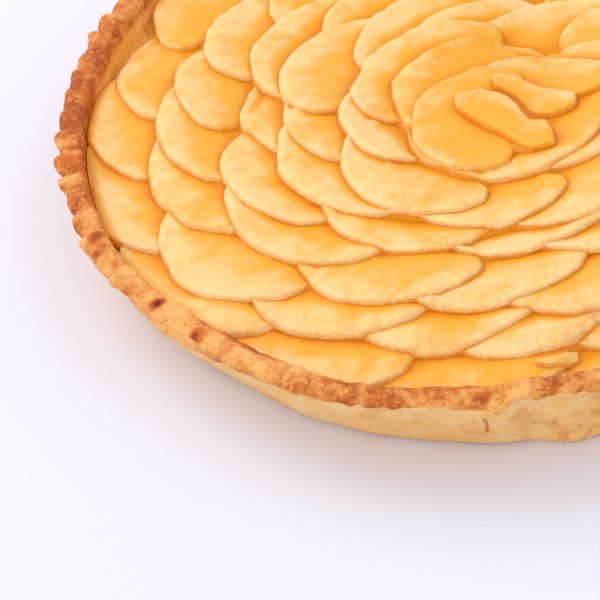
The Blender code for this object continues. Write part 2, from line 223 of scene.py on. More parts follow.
# Folds and creases of the wall: stretch, pitch and seed, and relief everywhere and added where crumpled.
FOLD_LINES = ((1.0, 1.0, 0.4), 0.0120, 8)
FOLD_RELIEF = (0.000175, 0.00025)
CREASE_LINES = ((0.7, 0.7, 1.3), 0.0045, 12)
CREASE_RELIEF = (0.000072, -0.00036)
# How dark the creases are painted: painted shade along them.
CREASE_PAINTED_SHADE = 0.40
CRUMPLED = ((269, 6, 2.4), (238, 9, 0.6), (60, 12, 0.9))
FOOT_SMOOTH = 0.003
LIP_BORDER = 0.64
FRONT_LIP_BORDER = 0.90
FRONT_START = (218, 232)
FRONT_END = (330, 300)
KNOB_BORDER = (0.05, 256, 261)
BORDER_BLEND = 0.04
LIP_STEP = 0.0008
FOOT_BULGE = (267.0, 4.8, 0.0042)
# How far the rim is drawn in to the right of the knob, each step from one direction to another.
PAST_KNOB = ((0.000945, 240, 252), (0.001755, 257.5, 262.5))
PAST_KNOB_END = (302, 280)
KNOB = (257.0, 1.6, 0.0003)
KNOB_CRUMBS = (256.4, 1.8, 0.0004)
KNOB_CRUMB_PITCH = 0.0021
PLEATS = (160, 42, 1.0)
PINCHED = 0.40
TOOTH_RISE = 0.16
TOOTH_FALL = 1.3
# A flap in the wall: direction, height, lean and length. It shows between two heights.
FLAP = (263.8, 0.0011, 4, 6)
FLAP_HEIGHTS = (0.95, 0.60)
# A crack in the wall: direction, height, depth, width and reach.
CRACK = (256.6, 0.0136, 0.0008, 0.00035, 0.004)
CRACK_WANDER = ((0.3, 0.002, 14),)
# A drip of syrup: direction, half width and where along the profile it starts.
DRIP = (258.6, 0.30, (0.54, 0.62))
DRIP_WANDER = ((0.5, 0.06, 15),)
# Burnt spots on the rim: direction, distance from the middle, size and how burnt each is.
BURNT_SPOTS = ((209.4, 0.1143, 0.0029, 1.0), (193.9, 0.1160, 0.0028, 0.74), (158.1, 0.1172, 0.0026, 0.60),
               (163.4, 0.1138, 0.0028, 0.48), (177.7, 0.1168, 0.0030, 0.50), (217.7, 0.1158, 0.0030, 0.92),
               (30.0, 0.1150, 0.0024, 0.70), (305.0, 0.1155, 0.0026, 0.90), (72.0, 0.1150, 0.0026, 0.55),
               (335.0, 0.1160, 0.0030, 0.50), (110.0, 0.1160, 0.0030, 0.45))
# Where the rim's inner edge is dark, and where its top is more or less toasted than elsewhere.
DARK_EDGE_PLACE = 0.743
DARK_EDGE_RAGGED = 0.010
DARK_EDGE_WIDTH = 0.030
SPOT_RAGGED = 0.35
SPOTS_START = 0.55
DARK_EDGES = ((184, 7, 0.70), (226, 9, 0.78), (253, 5, 0.65), (325, 14, 0.50), (85, 14, 0.40))
USUAL_TOAST = 0.5
PINCH_TOAST = 0.12
TOASTED_RIM = ((166, 20, 0.50), (256.6, 2.0, 0.50), (201, 5, 0.10), (213, 4, -0.40), (219, 3.5, 0.15),
               (226, 4, 0.25), (222, 24, -0.30), (236.5, 3, 0.45), (242.2, 3, 0.35),
               (249, 4.5, 0.40), (264.6, 2.5, 0.30), (260, 5, -0.35), (305, 12, 0.35), (40, 14, 0.30))

# Glaze: a thin fillet at the foot of every step, and deeper pools in the pits.
GLAZE_CELL = 0.0005
FILLET_SPREAD = 0.0008
FILLET_DEPTH = 0.00050
FILLET_UNEVENNESS = 0.00020
# Where the fillet is deepest: across, along, reach and how much deeper.
GLOSSY = (-0.020, -0.065, 0.070, 0.00020)
POOL_SPREAD = 0.0030
POOL_DEPTH = 0.00125
# Where syrup has gathered: across, along, reach and how much higher it stands.
POOLS = ((-0.0136, -0.0360, 0.006, 0.0007), (-0.0006, -0.0287, 0.004, 0.0006),
         (-0.0640, -0.0560, 0.007, 0.0005), (-0.0170, -0.0630, 0.006, 0.0006),
         (-0.0484, -0.0699, 0.007, 0.0006), (-0.0339, -0.0451, 0.006, 0.0006),
         (0.0450, 0.0300, 0.006, 0.0006), (0.0300, -0.0500, 0.006, 0.0005), (-0.0200, 0.0600, 0.006, 0.0005))
GLAZE_UNEVENNESS = 0.00014
GLAZE_PATCH = 0.012
GLAZE_REACH = 0.1135
GLAZE_FULL = 0.00085
# Painted shade on the slices, partly glaze colour: a narrow band at the foot of each step and a wider one
# around it, a fixed share on the sheets' sides, more close to the wall and less at the front.
CREVICE_SPREAD = 0.0010
CREVICE_FULL = 0.00050
CREVICE_EDGE = 0.0008
SHADE_SPREAD = 0.0038
SHADE_FULL = 0.00105
SHADE_EDGE = 0.0016
SIDE_CREVICE = 0.10
SIDE_SHADE = 0.32
WALL_SHADE = 0.75
WALL_SHADE_REACH = 0.0040
FRONT_WALL_LIGHT = (248, 32, 0.70)

# View: the camera's place and turn were found from the rim's ellipse and the slices' outlines.
LENS = 180.0
SENSOR = 36.0
RAISED = math.radians(42.3)
ROLLED = math.radians(-11.8)
DISTANCE = 6.73 * RIM_RADIUS
ASIDE = -0.478 * RIM_RADIUS
BELOW = -0.335 * RIM_RADIUS
FLOOR_HALF = 4.0
SKY_COLOUR = (0.96, 0.97, 1.0, 1.0)
SKY_STRENGTH = 0.98
# Each light: its name, place, size and power.
LIGHTS = (("window", (-0.9, 1.2, 1.3), 1.2, 13.0), ("fill", (-0.9, -1.0, 1.1), 1.4, 5.0))


def bump(angle, place):
    """A smooth hump at one direction of the case: place is direction, half width and height."""
    direction, width, height = place
    off = (angle - direction + 180) % 360 - 180
    return height * np.exp(-((off / width) ** 2))


def bumps(angle, places):
    return sum(bump(angle, place) for place in places)


def wave(angle, phases):
    """A slow uneven wave round the case, about -1 to 1."""
    turn = np.radians(angle)
    return sum(np.sin(k * turn + phase) for k, phase in phases) / math.sqrt(len(phases))


def direction_of(x, y):
    return np.degrees(np.arctan2(y, x))


def bed_radius(angle):
    return BED_RADIUS + BED_FOLLOWS * bumps(angle, SWELLINGS)


def unevenness(points, pitch, seed):
    """Smooth noise from -1 to 1 at points in metres, with lumps about one pitch across."""
    table = np.random.default_rng(seed).uniform(-1, 1, (32, 32, 32))
    points = np.asarray(points, float).reshape(len(points), -1)
    padded = np.zeros((len(points), 3))
    padded[:, :points.shape[1]] = points / pitch
    low = np.floor(padded).astype(int)
    part = padded - low
    part = part * part * (3 - 2 * part)
    total = np.zeros(len(points))
    for corner in range(8):
        bits = np.array([corner & 1, corner >> 1 & 1, corner >> 2 & 1])
        weight = np.prod(np.where(bits, part, 1 - part), axis=1)
        at = (low + bits) % 32
        total += weight * table[at[:, 0], at[:, 1], at[:, 2]]
    return total


def relief(points, layers):
    """Layers of noise added up, each given as height, pitch and seed."""
    return sum(height * unevenness(points, pitch, seed) for height, pitch, seed in layers)


def smooth_step(value, start, end):
    t = np.clip((value - start) / (end - start), 0, 1)
    return t * t * (3 - 2 * t)


def spline(values, at):
    """Smooth curves through rows of values, read at places counted in rows."""
    count = len(values)
    low = np.clip(np.floor(at).astype(int), 0, count - 2)
    t = at - low
    before, after = np.maximum(low - 1, 0), np.minimum(low + 2, count - 1)
    t = t.reshape((-1,) + (1,) * (values.ndim - 1))
    a, b, c, d = values[before], values[low], values[low + 1], values[after]
    slope_b, slope_c = (c - a) / 2, (d - b) / 2
    return ((2 * t ** 3 - 3 * t ** 2 + 1) * b + (t ** 3 - 2 * t ** 2 + t) * slope_b
            + (3 * t ** 2 - 2 * t ** 3) * c + (t ** 3 - t ** 2) * slope_c)


def blurred(heights, spread):
    """The heights smoothed over a distance counted in cells."""
    reach = max(1, math.ceil(2.5 * spread))
    steps = np.arange(-reach, reach + 1)
    weights = np.exp(-0.5 * (steps / spread) ** 2)
    weights /= weights.sum()
    for _ in range(2):
        count = heights.shape[0]
        padded = np.pad(heights, ((reach, reach), (0, 0)), mode="edge")
        heights = sum(w * padded[k:k + count] for k, w in enumerate(weights)).T
    return heights


def widened(heights):
    """Each cell raised to the highest of its neighbours."""
    count = heights.shape[0]
    padded = np.pad(heights, 1, mode="edge")
    return np.max([padded[i:i + count, j:j + count] for i in range(3) for j in range(3)], axis=0)


# The model's slices, laid again in the same way so that the fine ones follow them.
def sheet_pattern():
    """A flat grid of triangles: where its corners are, from -1 to 1 both ways, and the triangles."""
    bm = bmesh.new()
    bmesh.ops.create_grid(bm, x_segments=SHEET_COLUMNS, y_segments=SHEET_ROWS, size=1.0)
    bmesh.ops.triangulate(bm, faces=bm.faces[:])
    bm.verts.ensure_lookup_table()
    places = np.array([v.co[:2] for v in bm.verts])
    triangles = np.array([[v.index for v in face.verts] for face in bm.faces])
    bm.free()
    return places, triangles


def slice_plan(places, middle, direction, radius, cored_side, tip_angle):
    """A slice seen from above: across it runs from tip to tip, and out from the cored side to the arc."""
    across, out = places[:, 0], (places[:, 1] + 1) / 2
    swing = across * math.radians(tip_angle)
    inner_side = across * math.sin(math.radians(tip_angle)) * CORED_SPAN
    inner_reach = cored_side - CORED_BOW * (1 - across ** 2)
    side = radius * (inner_side * (1 - out) + np.sin(swing) * out)
    reach = radius * (inner_reach * (1 - out) + np.cos(swing) * out)
    turn = math.radians(direction)
    x = middle[0] + reach * math.cos(turn) - side * math.sin(turn)
    y = middle[1] + reach * math.sin(turn) + side * math.cos(turn)
    return np.column_stack((x, y))


def strip_plan(places, far_side, near_side):
    """A torn strip seen from above, between two sides that are given point by point."""
    at = (places[:, 0] + 1) / 2 * (len(far_side) - 1)
    number = np.arange(len(far_side))
    share = ((places[:, 1] + 1) / 2)[:, None]
    far, near = (np.column_stack([np.interp(at, number, line) for line in np.array(side).T / 10000])
                 for side in (far_side, near_side))
    return near * (1 - share) + far * share


def inside_case(plan, clearance):
    """The plan with whatever would cross the wall of the case pressed back inside it."""
    most = bed_radius(direction_of(*plan.T)) - clearance
    return plan * np.minimum(1, most / np.hypot(*plan.T))[:, None]


class Field:
    """Heights of what has been laid so far, on a square grid of cells over the bed."""

    def __init__(self, cell):
        self.cell = cell
        count = round(2 * FIELD_HALF / cell)
        self.middles = (np.arange(count) + 0.5) * cell - FIELD_HALF
        away = np.hypot(*np.meshgrid(self.middles, self.middles, indexing="ij")) / BED_RADIUS
        self.top = BED_MIDDLE_HEIGHT + (BED_HEIGHT - BED_MIDDLE_HEIGHT) * away

    def cells(self, points):
        places = np.floor((points + FIELD_HALF) / self.cell).astype(int)
        return tuple(np.clip(places, 0, len(self.middles) - 1).T)

    def read(self, heights, points):
        """Heights of a grid like this one at points between its cells."""
        places = (points + FIELD_HALF) / self.cell - 0.5
        low = np.clip(np.floor(places).astype(int), 0, len(self.middles) - 2)
        t = np.clip(places - low, 0, 1)
        i, j = low.T
        return ((heights[i, j] * (1 - t[:, 0]) + heights[i + 1, j] * t[:, 0]) * (1 - t[:, 1])
                + (heights[i, j + 1] * (1 - t[:, 0]) + heights[i + 1, j + 1] * t[:, 0]) * t[:, 1])

    def add(self, plan, upper, triangles):
        """Raises the cells under a piece to its upper face."""
        for triangle in triangles:
            a, b, c = plan[triangle]
            low = np.floor((plan[triangle].min(axis=0) + FIELD_HALF) / self.cell).astype(int)
            high = np.ceil((plan[triangle].max(axis=0) + FIELD_HALF) / self.cell).astype(int)
            i, j = np.meshgrid(np.arange(low[0], high[0]), np.arange(low[1], high[1]), indexing="ij")
            x, y = (i + 0.5) * self.cell - FIELD_HALF, (j + 0.5) * self.cell - FIELD_HALF
            area = (b[0] - a[0]) * (c[1] - a[1]) - (c[0] - a[0]) * (b[1] - a[1])
            share_b = ((x - a[0]) * (c[1] - a[1]) - (c[0] - a[0]) * (y - a[1])) / area
            share_c = ((b[0] - a[0]) * (y - a[1]) - (x - a[0]) * (b[1] - a[1])) / area
            share_a = 1 - share_b - share_c
            inside = (share_a >= 0) & (share_b >= 0) & (share_c >= 0)
            z_a, z_b, z_c = upper[triangle]
            raised = np.where(inside, share_a * z_a + share_b * z_b + share_c * z_c, 0)
            patch = self.top[low[0]:high[0], low[1]:high[1]]
            np.maximum(patch, raised, out=patch)

    def add_points(self, points, heights):
        np.maximum.at(self.top, self.cells(points), heights)


def touch_points(field, plan, triangles):
    """Points spread over each triangle of a piece: their cells, corners and shares of each corner."""
    steps = range(TOUCH_STEPS + 1)
    spread = np.array([(i, j, TOUCH_STEPS - i - j) for i in steps for j in steps if i + j <= TOUCH_STEPS])
    shares = np.tile(spread / TOUCH_STEPS, (len(triangles), 1))
    corners = np.repeat(triangles, len(spread), axis=0)
    points = (shares[:, :, None] * plan[corners]).sum(axis=1)
    return field.cells(points), corners, shares


def neighbour_mean(sheet):
    padded = np.pad(sheet, 1, mode="edge")
    return (padded[:-2, 1:-1] + padded[2:, 1:-1] + padded[1:-1, :-2] + padded[1:-1, 2:]) / 4


def settle(blocked, corners, shares):
    """Height of each corner of a limp sheet that sinks until it rests on what is below it."""
    def lifted(height, weight):
        short = np.clip(blocked - (shares * height[corners]).sum(axis=1), 0, None)
        lift = np.zeros_like(height)
        np.maximum.at(lift, corners.ravel(), (short[:, None] * weight).ravel())
        return height + lift

    shape = (SHEET_ROWS + 1, SHEET_COLUMNS + 1)
    height = np.full(math.prod(shape), blocked.max())
    weight = shares / (shares ** 2).sum(axis=1)[:, None]
    for _ in range(SETTLE_STEPS):
        sheet = height.reshape(shape)
        sheet = (1 - STIFFNESS) * sheet + STIFFNESS * neighbour_mean(sheet) - LIMPNESS
        height = lifted(sheet.ravel(), weight)
    return lifted(height, np.ones(3))


def lay_coarse(field, base, plan, triangles):
    """Lays one of the model's pieces, which raises the heights."""
    plan = inside_case(plan, WALL_CLEARANCE)
    at, corners, shares = touch_points(field, plan, triangles)
    top = widened(field.top)[at]
    blocked = top + CLEARANCE
    if base is not None:
        own = top > widened(base)[at] + SLICE_THICKNESS / 2
        blocked = np.where(own, top - FUSE_DEPTH, blocked)
    upper = settle(blocked, corners, shares) + SLICE_THICKNESS
    field.add(plan, upper, triangles)


def ring_slices(ring, draw):
    """Direction, radius and reach of every slice of a ring, in the order of laying."""
    count, _, usual_reach, _, seen = ring
    first, last = seen[0][0], seen[-1][0]
    hidden = count - len(seen)
    step = (360 + first - last) / (hidden + 1)
    slices = list(seen)
    for k in range(1, hidden + 1):
        direction = last + k * step + draw.uniform(-TURN_SPREAD, TURN_SPREAD)
        radius = USUAL_RADIUS + draw.uniform(-RADIUS_SPREAD, RADIUS_SPREAD)
        reach = usual_reach + draw.uniform(-REACH_SPREAD, REACH_SPREAD)
        slices.append((direction % 360, radius, reach))
    return sorted(slices, key=lambda s: (FIRST_LAID - s[0]) % 360)


def all_pieces():
    """Every slice and strip in the order of laying: its piece of the scene, whether it is fused to the others
    of its piece, whether it is a strip, and what its plan is made from."""
    draw = random.Random(SEED + 1)
    for number, ring in enumerate(RINGS, start=1):
        _, share, _, separate, _ = ring
        for direction, radius, reach in ring_slices(ring, draw):
            turn = math.radians(direction)
            middle = (share * ROSE[0] + (reach - radius) * math.cos(turn),
                      share * ROSE[1] + (reach - radius) * math.sin(turn))
            yield f"ring_{number}", not separate, False, (middle, direction, radius, CORED_SIDE, TIP_ANGLE)
    for x, y, direction, radius, cored_side in HEART:
        yield "heart", True, False, ((x, y), direction, radius, cored_side, HEART_TIP_ANGLE)
    for name, far_side, near_side in STRIPS:
        yield name, False, True, (far_side, near_side)


def model_heights():
    """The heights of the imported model's pile, by the rule that made it."""
    field = Field(CELL)
    places, triangles = sheet_pattern()
    piece = base = None
    for name, is_fused, is_strip, made_from in all_pieces():
        if name != piece:
            piece = name
            base = field.top.copy() if is_fused else None
        plan = (strip_plan if is_strip else slice_plan)(places, *made_from)
        lay_coarse(field, base, plan, triangles)
    return field


# Fine slices.
def fine_places(columns, rows, is_strip):
    """Corners of a fine grid from -1 to 1 both ways, closer together near the edges that show."""
    t = np.linspace(-1, 1, columns + 1)
    across = np.sin(t) / math.sin(1)
    if is_strip:
        out = -np.cos(np.linspace(0, math.pi, rows + 1))
    else:
        out = 1 - 2 * (1 - np.linspace(0, 1, rows + 1)) ** ARC_CROWDING
    grid = np.array([(a, o) for o in out for a in across])
    rounding = STRIP_ROUNDING if is_strip else TIP_ROUNDING
    return grid * np.sqrt(1 - rounding * grid[:, ::-1] ** 2 / 2), (rows + 1, columns + 1)


def edge_distance(plan, shape):
    """How far each corner of a sheet is from its outline and from its arc, in metres."""
    sheet = plan.reshape(shape + (2,))
    steps = [np.linalg.norm(np.diff(sheet, axis=k, prepend=sheet.take([0], k)), axis=2) for k in (0, 1)]
    down, right = (np.cumsum(step, axis=k) for k, step in enumerate(steps))
    arc = down[-1] - down
    tips = np.minimum(right, right[:, -1:] - right)
    return np.minimum(np.minimum(down, arc), tips), arc


def uneven_outline(plan, places, seed):
    """The plan with its outline wavy, rippled and finely nicked, most at its edges."""
    edge = np.max(np.abs(places), axis=1)
    outward = plan - plan.mean(axis=0)
    outward /= np.linalg.norm(outward, axis=1)[:, None] + 1e-9
    shift = np.zeros(len(plan))
    for k, (height, pitch, start) in enumerate(OUTLINE):
        share = smooth_step(edge, start, 1.0) if start else edge ** 2
        shift += height * unevenness(plan, pitch, seed + k) * share
    return plan + outward * shift[:, None]


def resting_sheet(below, places, bends):
    """Heights of a smooth firm sheet that rests on the highest points of what is below it."""
    terms = np.column_stack([places[:, 0] ** i * places[:, 1] ** j for i, j in bends])
    firm = np.diag([SHEET_FIRMNESS * len(below) * (i + j > 1) * (i + j) ** 2 for i, j in bends])
    weight = np.ones(len(below))
    for _ in range(SHEET_STEPS):
        pull = terms * weight[:, None]
        height = terms @ np.linalg.solve(pull.T @ terms + firm, pull.T @ below)
        weight = np.where(below > height, SHEET_HARDNESS, 1.0)
    return height


class Slices:
    """Fine slices that make up one piece of the scene, gathered as arrays."""

    def __init__(self, name):
        self.name = name
        self.faces, self.parts = [], []
        self.count = 0

    def add(self, plan, lower, upper, shape, grain, near, arc, tone):
        """Adds a sheet: a fine upper face, a coarser lower one, and sides between their outlines."""
        index = np.arange(len(plan)).reshape(shape)
        under = index[::UNDER_STEP, ::UNDER_STEP]
        below = len(plan) + np.arange(under.size).reshape(under.shape)
        ring, below_ring = outline_of(index), outline_of(below)
        first = ring[::UNDER_STEP]
        sides = [first, below_ring, np.roll(below_ring, -1), np.roll(first, -1)]
        sides += [ring[k::UNDER_STEP] for k in range(UNDER_STEP - 1, 0, -1)]
        for faces in (grid_quads(index), grid_quads(below)[:, ::-1], np.stack(sides, axis=-1)):
            self.faces += (faces + self.count).tolist()
        chosen = under.ravel()
        outward = plan - plan.mean(axis=0)
        foot = plan + EDGE_SLOPE * outward / np.linalg.norm(outward, axis=1)[:, None]
        self.parts.append((np.column_stack((plan, upper)), grain, arc, near, np.full(len(plan), tone)))
        self.parts.append((np.column_stack((foot, lower))[chosen], grain[chosen], arc[chosen],
                           np.full(len(chosen), -1.0), np.full(len(chosen), tone)))
        self.count += len(plan) + len(chosen)

    def build(self, collection, field, close, wide):
        corners, grain, arc, near, tone = (np.concatenate(each) for each in zip(*self.parts))
        mesh = new_mesh(self.name, corners, self.faces)
        mesh.polygons.foreach_set("use_smooth", [len(face) <= 4 for face in self.faces])
        store = mesh.attributes.new("grain", "FLOAT_VECTOR", "POINT")
        store.data.foreach_set("vector", grain.astype(np.float32).ravel())
        arc = np.clip(arc / ARC_SPAN, 0, 1)
        plan, height = corners[:, :2], corners[:, 2]
        # Painted shade, partly glaze colour: the further a corner lies below the blurred heights, the darker;
        # narrow at the foot of each step, wider around it.
        crevice_glaze_and_shade = (field.read(close, plan) - height) / CREVICE_FULL * smooth_step(near, 0, CREVICE_EDGE)
        shade = (field.read(wide, plan) - height) / SHADE_FULL * smooth_step(near, 0, SHADE_EDGE)
        is_side = near < 0
        crevice_glaze_and_shade, shade = np.where(is_side, SIDE_CREVICE, crevice_glaze_and_shade), np.where(is_side, SIDE_SHADE, shade)
        angle = direction_of(*plan.T)
        room = bed_radius(angle) + WALL_LEAP - np.hypot(*plan.T)
        # More painted shade close to the wall, less at the front.
        at_wall = WALL_SHADE - bump(angle, FRONT_WALL_LIGHT)
        shade = np.maximum(shade, at_wall * (1 - smooth_step(room, 0, WALL_SHADE_REACH)))
        toast = np.zeros(len(plan))
        for x, y, size in TOASTED:
            toast = np.maximum(toast, 1 - smooth_step(np.hypot(plan[:, 0] - x, plan[:, 1] - y), 0, size))
        store_look(mesh, "look", crevice_glaze_and_shade, arc, shade)
        store_look(mesh, "tone", tone, toast * smooth_step(arc, *TOAST_ARC), toast)
        return add_object(self.name, mesh, collection)


def grid_quads(index):
    return np.stack((index[:-1, :-1], index[:-1, 1:], index[1:, 1:], index[1:, :-1]), axis=-1).reshape(-1, 4)


def outline_of(index):
    return np.concatenate((index[0, :-1], index[:-1, -1], index[-1, :0:-1], index[:0:-1, 0]))


def store_look(mesh, name, *shares):
    """Keeps three shares from 0 to 1 at the corners of a mesh, for its material. Corners left over get 0."""
    values = np.zeros((len(mesh.vertices), 4), np.float32)
    values[:len(shares[0]), :3] = np.clip(np.column_stack(shares), 0, 1)
    mesh.attributes.new(name, "FLOAT_COLOR", "POINT").data.foreach_set("color", values.ravel())


def new_mesh(name, corners, faces):
    mesh = bpy.data.meshes.new(name)
    mesh.from_pydata(corners.tolist(), [], faces)
    return mesh


def add_object(name, data, collection):
    made = bpy.data.objects.new(name, data)
    collection.objects.link(made)
    return made


def lay_sheet(field, name, plan, places, shape, seed):
    """Lower and upper faces of one thin sheet laid on the heights, which it raises."""
    thick, edge, reach, bends = SHEETS.get(name.split("_")[0], SHEETS["slice"])
    near, arc = edge_distance(plan, shape)
    near, arc = near.ravel(), arc.ravel()
    below = field.read(blurred(widened(field.top), BELOW_SPREAD), plan)
    lower = resting_sheet(below, places, bends)
    hover = HOVER * np.clip(unevenness(plan, HOVER_PITCH, seed + 3), 0, 1)
    droop = DROOP_SHARE * (1 - smooth_step(near, 0, reach))
    lower = lower - droop * np.clip(lower - below - hover, 0, None)
    lower = np.maximum(lower, below - PRESS)
    thickness = edge + (thick - edge) * smooth_step(near, 0, EDGE_TAPER)
    swell = SWELL_RELIEF * unevenness(plan, SWELL_PITCH, seed + 4)
    upper = lower + thickness + swell * smooth_step(near, 0, EDGE_TAPER)
    short = np.clip(EDGE_ROUNDING - near, 0, EDGE_ROUNDING)
    upper -= EDGE_ROUNDING - np.sqrt(EDGE_ROUNDING ** 2 - short ** 2)
    ground = field.read(field.top, plan)
    lower = np.minimum(np.maximum(np.minimum(lower, ground - PRESS), lower - SKIRT), upper - edge / 2)
    splat(field, plan, upper, shape)
    return lower, upper, near, arc


def splat(field, plan, upper, shape):
    """Raises the heights to a fine sheet's upper face, read at points closer together than the cells."""
    rows, columns = shape
    fine = np.column_stack((plan, upper)).reshape(shape + (3,))
    more = spline(fine, np.linspace(0, rows - 1, 3 * SPLAT_STEPS * (rows - 1) + 1))
    more = more.transpose(1, 0, 2).copy()
    more = spline(more, np.linspace(0, columns - 1, SPLAT_STEPS * (columns - 1) + 1))
    points = more.reshape(-1, 3)
    field.add_points(points[:, :2], points[:, 2])


def wall_rise(field):
    """How much higher the sheets lie close to the wall, where they ride up against it."""
    x, y = np.meshgrid(field.middles, field.middles, indexing="ij")
    room = bed_radius(direction_of(x, y)) + WALL_LEAP - np.hypot(x, y)
    return WALL_RISE * (1 - smooth_step(room, 0, WALL_RISE_REACH))


def fine_plan(name, places, middle, direction, radius, cored_side, tip_angle):
    """A fine slice seen from above: the model's, moved a little and reaching further in below the others."""
    back = bump(direction, TURNED_BACK.get(name, (0, 1, 0)))
    middle = Matrix.Rotation(math.radians(-back), 2) @ Vector(middle)
    direction -= back
    turn = math.radians(direction)
    out = RIM_STRETCH if name == "ring_1" else -bump(direction, FRONT_DRAWN_IN)
    middle = (middle[0] + out * math.cos(turn), middle[1] + out * math.sin(turn))
    if cored_side > 0:
        cored_side = HEART_CORED_SIDE if name == "heart" else FINE_CORED_SIDE
    return slice_plan(places, middle, direction, radius, cored_side, tip_angle)


def lay_fine(lift, slice_grid, strip_grid):
    """All the fine sheets, laid on the bed raised by a lift: the heights, and the pieces of the scene."""
    field = Field(FINE_CELL)
    field.top += lift
    slice_places = fine_places(*slice_grid, False)
    strip_places = fine_places(*strip_grid, True)
    tones = random.Random(SEED + 5)
    made = []
    for number, (name, _, is_strip, made_from) in enumerate(all_pieces(), start=1):
        if not made or made[-1].name != name:
            made.append(Slices(name))
        places, shape = strip_places if is_strip else slice_places
        plan = strip_plan(places, *made_from) if is_strip else fine_plan(name, places, *made_from)
        seed = SEED + 10 * number
        plan = inside_case(uneven_outline(plan, places, seed), -WALL_LEAP)
        lower, upper, near, arc = lay_sheet(field, name, plan, places, shape, seed)
        inward = (places[:, 1] + 1) / 2 * GRAIN_DEPTH
        along = places[:, 0] * GRAIN_LENGTH + tones.uniform(-GRAIN_LEAN, GRAIN_LEAN) * inward
        grain = np.column_stack((along, inward, np.full(len(plan), number * GRAIN_STEP)))
        tone = tones.uniform(*(RING_TONES if name.startswith("ring") or name == "chip" else ROSE_TONES))
        if name == "ring_1":
            tone += bump(made_from[1], FRONT_TONE)
        if name == "chip":
            arc = arc + CHIP_GOLD
        made[-1].add(plan, lower, upper, shape, grain, near, arc, tone)
    return field, made


def lay_all():
    """The fine pile, lifted so that it comes out as high as the model's."""
    model = model_heights()
    spread = LIFT_SPREAD / FINE_CELL
    lift = 0
    for _ in range(TRIALS):
        trial, _ = lay_fine(lift, TRIAL_GRID, TRIAL_GRID)
        x, y = np.meshgrid(trial.middles, trial.middles, indexing="ij")
        points = np.column_stack((x.ravel(), y.ravel()))
        wanted = model.read(model.top, points).reshape(x.shape)
        inside = (np.hypot(x, y) < bed_radius(direction_of(x, y)) - LIFT_MARGIN).astype(float)
        short = blurred((wanted - trial.top) * inside, spread)
        lift = lift + short / np.maximum(blurred(inside, spread), LEAST_INSIDE)
    return lay_fine(lift + wall_rise(trial), SLICE_GRID, STRIP_GRID)


# The fine case.
def fine_pinch(angle, strength):
    """The pinched edge: lobes that start with a step and taper off, -1 to 1 times each pinch's strength."""
    place = angle / 360 * PINCHES + relief(angle, PINCH_WANDER)
    k = np.floor(place).astype(int) % PINCHES
    t = place - np.floor(place)
    size = (strength[k] * (1 - t) + np.roll(strength, -1)[k] * t) ** 2
    rising = -np.cos(math.pi * t / TOOTH_RISE)
    falling = np.cos(math.pi * np.clip((t - TOOTH_RISE) / (1 - TOOTH_RISE), 0, 1) ** TOOTH_FALL)
    return size * np.where(t < TOOTH_RISE, rising, falling)


def case_profile(angle, strength, slow, quick):
    """Radius and height of the case's rows in every direction, pinched most at the outer edge."""
    pinch = fine_pinch(angle, strength)
    wall_shift = WALL_WAVE * wave(angle, quick)
    fold = bumps(angle, FOLDS)
    knob = bump(angle, KNOB)
    swell = bumps(angle, SWELLINGS)
    drawn_in = sum(depth * smooth_step(angle, start, end) for depth, start, end in PAST_KNOB)
    drawn_in *= smooth_step(angle, *PAST_KNOB_END)
    inner_rim = RIM_RADIUS + swell + knob / 2 - drawn_in
    rim = RIM_RADIUS + swell + knob - drawn_in + pinch * PINCH_DEPTH * (PINCHED + bump(angle, PLEATS))
    top = RIM_HEIGHT + RIM_WAVE * wave(angle, slow) + pinch * PINCH_RISE + knob / 2
    foot = FOOT_RADIUS + FOOT_FOLLOWS * swell + bump(angle, FOOT_BULGE)
    rows = [(foot + out * (rim - foot) + fold_share * fold + wave_share * wall_shift, up * top)
            for out, up, fold_share, wave_share in WALL_ROWS]
    rows += [(rim - OUTER_ROUNDING, top * OUTER_TOP),
             (inner_rim - RIM_WIDTH + INNER_ROUNDING, top),
             (bed_radius(angle) + BED_WALL_LEAN, BED_WALL_TOP * top),
             (bed_radius(angle), np.full_like(angle, BED_HEIGHT))]
    return np.array(rows)


def ridges(points, lines):
    """Sharp ridges that wander over the skin, from -1 between them to 1 along them."""
    stretch, pitch, seed = lines
    return 1 - 2 * np.abs(unevenness(points * stretch, pitch, seed))


def lip_share(points, share, angle):
    """Where the skin is the rim's (1) and where it is the wall's (0), with a ragged border between."""
    front = smooth_step(angle, *FRONT_START) * smooth_step(angle, *FRONT_END)
    rise, start, end = KNOB_BORDER
    border = LIP_BORDER + (FRONT_LIP_BORDER - LIP_BORDER) * front + rise * smooth_step(angle, start, end)
    border += relief(angle, BORDER_RAGGED)
    height = points[:, 2] / RIM_HEIGHT
    above = smooth_step(height, border - BORDER_BLEND, border + BORDER_BLEND)
    return np.where(share < OUTSIDE_END, above, 1.0)


def wall_folds(points, angle):
    """Folds, creases, flap and crack of the wall, and how dark the skin is: darker in the crack, with painted
    shade along the creases.
    """
    crumpled = bumps(angle, CRUMPLED)
    ridge, crease = ridges(points, FOLD_LINES), ridges(points, CREASE_LINES)
    folds = (FOLD_RELIEF[0] + FOLD_RELIEF[1] * crumpled) * ridge
    folds += (CREASE_RELIEF[0] + CREASE_RELIEF[1] * crumpled) * crease + relief(points, WALL_GRAINS)
    height = points[:, 2] / RIM_HEIGHT
    direction, depth, lean, length = FLAP
    past_flap = (angle - direction + lean * (height - 0.5)) % 360
    flap = depth * smooth_step(past_flap, 0, 1.0) * np.exp(-past_flap / length)
    folds += flap * smooth_step(height, *FLAP_HEIGHTS)
    direction, middle, depth, width, reach = CRACK
    off_crack = FOOT_RADIUS * np.radians(angle - direction + relief(points[:, 2], CRACK_WANDER))
    split = np.exp(-(off_crack / width) ** 2) * (np.abs(points[:, 2] - middle) < reach)
    # The creases get painted shade too.
    painted_crease_shade = np.clip(crumpled, 0, 1) * smooth_step(crease, 0.82, 0.98) * smooth_step(ridge, -0.4, 0.6)
    split = np.maximum(split, CREASE_PAINTED_SHADE * painted_crease_shade)
    return folds - depth * split, split


